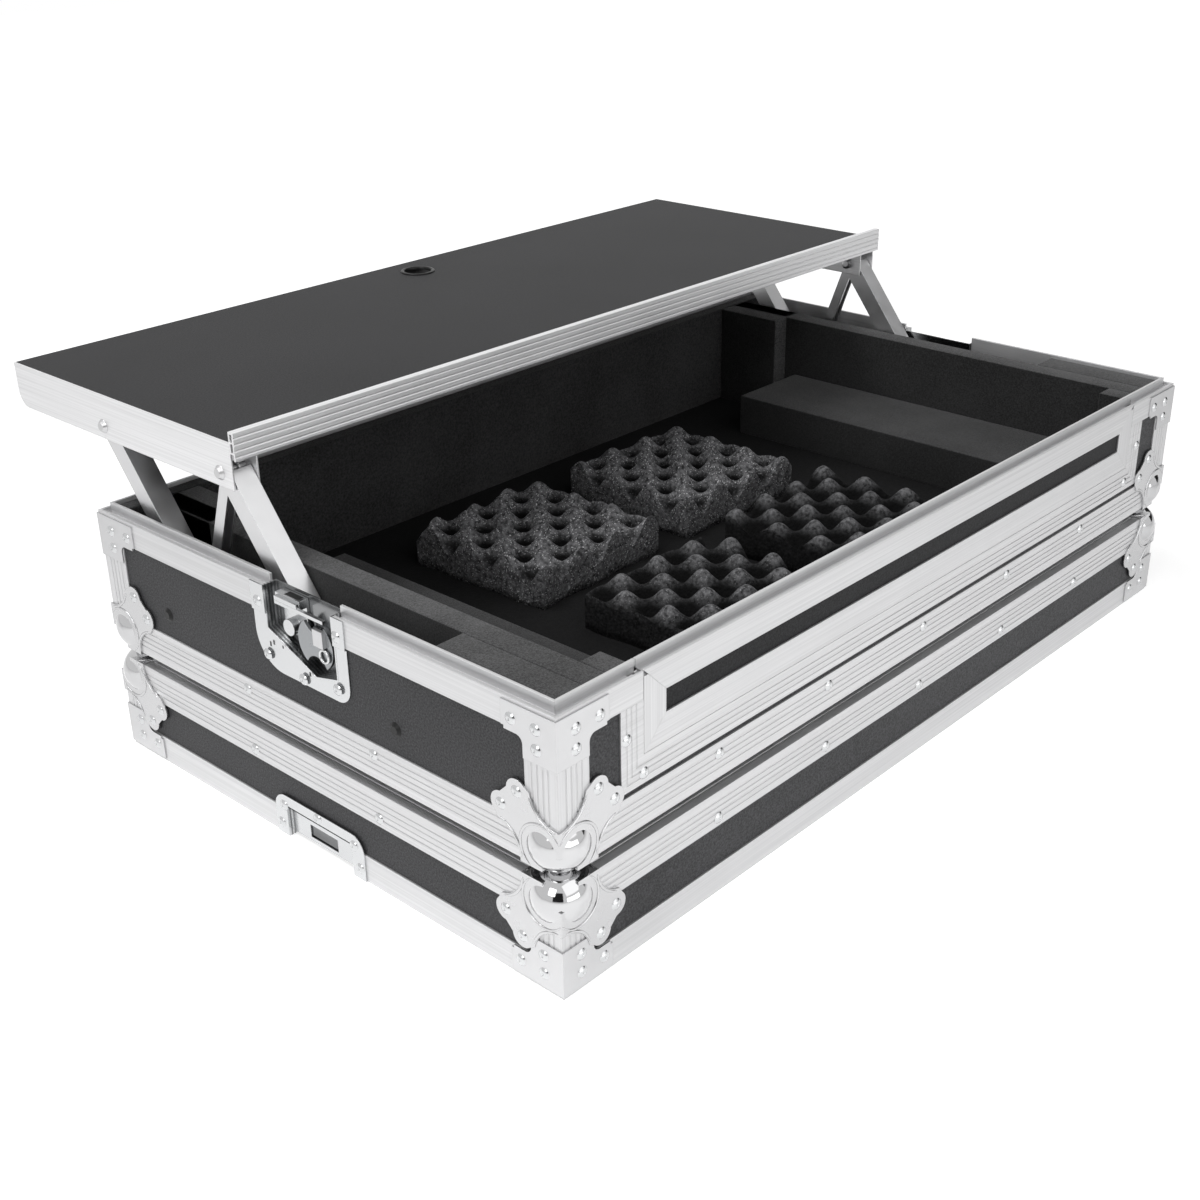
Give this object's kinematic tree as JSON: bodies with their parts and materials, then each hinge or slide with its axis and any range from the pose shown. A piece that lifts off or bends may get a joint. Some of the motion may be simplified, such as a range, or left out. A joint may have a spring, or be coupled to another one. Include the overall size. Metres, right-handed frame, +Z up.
{
  "type": "flight case",
  "caption": "Black and aluminium flight case for a desktop controller, its base standing on the lift-off lid, with a raised laptop shelf, a lift-out front panel and foam inside.",
  "frame": {"origin": "on the floor, under the middle of the object's box", "axes": "+X right along the front, +Y to the back, +Z up"},
  "size_m": [0.882, 0.661, 0.327],
  "materials": {
    "black_laminate": "textured black laminate on plywood",
    "aluminium": "satin extruded",
    "plated_steel": "bright zinc plated",
    "black_steel": "black oxide",
    "lining_foam": "closed-cell foam",
    "egg_foam": "open-cell convoluted foam"
  },
  "bodies": {
    "lid": {"lid_top_panel": "black_laminate", "lid_long_panels": "black_laminate", "lid_side_panels": "black_laminate", "lid_long_edges": "aluminium", "lid_short_edges": "aluminium", "lid_corner_posts": "aluminium", "lid_long_rims": "aluminium", "lid_side_rims": "aluminium", "lid_ball_corners": "plated_steel", "lid_braces": "aluminium", "lid_keepers": "plated_steel", "lid_rivets": "plated_steel", "lid_foam": "lining_foam"},
    "base": {"base_floor": "black_laminate", "base_back_panel": "black_laminate", "base_side_panels": "black_laminate", "base_front_board": "black_laminate", "base_long_edges": "aluminium", "base_short_edges": "aluminium", "base_corner_posts": "aluminium", "base_back_rim": "aluminium", "base_side_rims": "aluminium", "base_front_rims": "aluminium", "front_frame": "aluminium", "base_ball_corners": "plated_steel", "base_braces": "aluminium", "base_rivets": "plated_steel", "latch_dishes": "plated_steel", "pivot_strips": "aluminium", "pivot_studs": "plated_steel", "panel_bolts": "black_steel", "floor_lining": "lining_foam", "rear_foam": "lining_foam", "partitions": "lining_foam", "slot_blocks": "lining_foam", "corner_blocks": "lining_foam", "bolsters": "lining_foam", "egg_pad_1": "egg_foam", "egg_pad_2": "egg_foam", "egg_pad_3": "egg_foam", "egg_pad_4": "egg_foam"},
    "front_panel": {"lift_panel_board": "black_laminate", "lift_panel_top_bar": "aluminium", "lift_panel_side_bars": "aluminium", "lift_panel_bottom_bar": "aluminium"},
    "shelf": {"shelf_board": "black_laminate", "shelf_side_rails": "aluminium", "shelf_front_rail": "aluminium", "shelf_bolts": "plated_steel"},
    "front_arms": {"front_arm_left": "aluminium", "front_arm_right": "aluminium"},
    "rear_arms": {"rear_arm_left": "aluminium", "rear_arm_right": "aluminium"},
    "props": {"prop_left": "aluminium", "prop_right": "aluminium"},
    "key_left": {"latch_key_left": "plated_steel"},
    "key_right": {"latch_key_right": "plated_steel"},
    "hook_left": {"latch_hook_left": "plated_steel"},
    "hook_right": {"latch_hook_right": "plated_steel"}
  },
  "joints": [
    {"name": "base_lift", "type": "slide", "parent": "lid", "child": "base", "axis": [0, 0, 1], "range_m": [0, 0.15]},
    {"name": "panel_lift", "type": "slide", "parent": "base", "child": "front_panel", "axis": [0, 0, 1], "range_m": [0, 0.09]},
    {"name": "arm_fold", "type": "hinge", "parent": "base", "child": "front_arms", "pos_m": [0, -0.07149, 0.1515], "axis": [1, 0, 0], "range_deg": [0, 93]},
    {"name": "rear_arm_fold", "type": "hinge", "parent": "base", "child": "rear_arms", "pos_m": [0, 0.08851, 0.1515], "axis": [1, 0, 0], "range_deg": [0, 93.5]},
    {"name": "shelf_level", "type": "hinge", "parent": "front_arms", "child": "shelf", "pos_m": [0, 0.03749, 0.29098], "axis": [1, 0, 0], "range_deg": [-93.5, 0]},
    {"name": "prop_fold", "type": "hinge", "parent": "front_arms", "child": "props", "pos_m": [0, 0.03749, 0.29098], "axis": [1, 0, 0], "range_deg": [-56, 0]},
    {"name": "latch_turn_left", "type": "hinge", "parent": "base", "child": "key_left", "pos_m": [-0.429, -0.07746, 0.18903], "axis": [1, 0, 0], "range_deg": [0, 180]},
    {"name": "hook_slide_left", "type": "slide", "parent": "base", "child": "hook_left", "axis": [0, 0, 1], "range_m": [0, 0.0061]},
    {"name": "latch_turn_right", "type": "hinge", "parent": "base", "child": "key_right", "pos_m": [0.429, -0.07746, 0.18903], "axis": [1, 0, 0], "range_deg": [0, 180]},
    {"name": "hook_slide_right", "type": "slide", "parent": "base", "child": "hook_right", "axis": [0, 0, 1], "range_m": [0, 0.0061]}
  ],
  "couplings": [
    {"joint": "rear_arm_fold", "follows": "arm_fold", "ratio": 1},
    {"joint": "shelf_level", "follows": "arm_fold", "ratio": -1},
    {"joint": "prop_fold", "follows": "arm_fold", "ratio": -0.6},
    {"joint": "latch_turn_left", "follows": "hook_slide_left", "rad_per_m": 515},
    {"joint": "latch_turn_right", "follows": "hook_slide_right", "rad_per_m": 515}
  ]
}
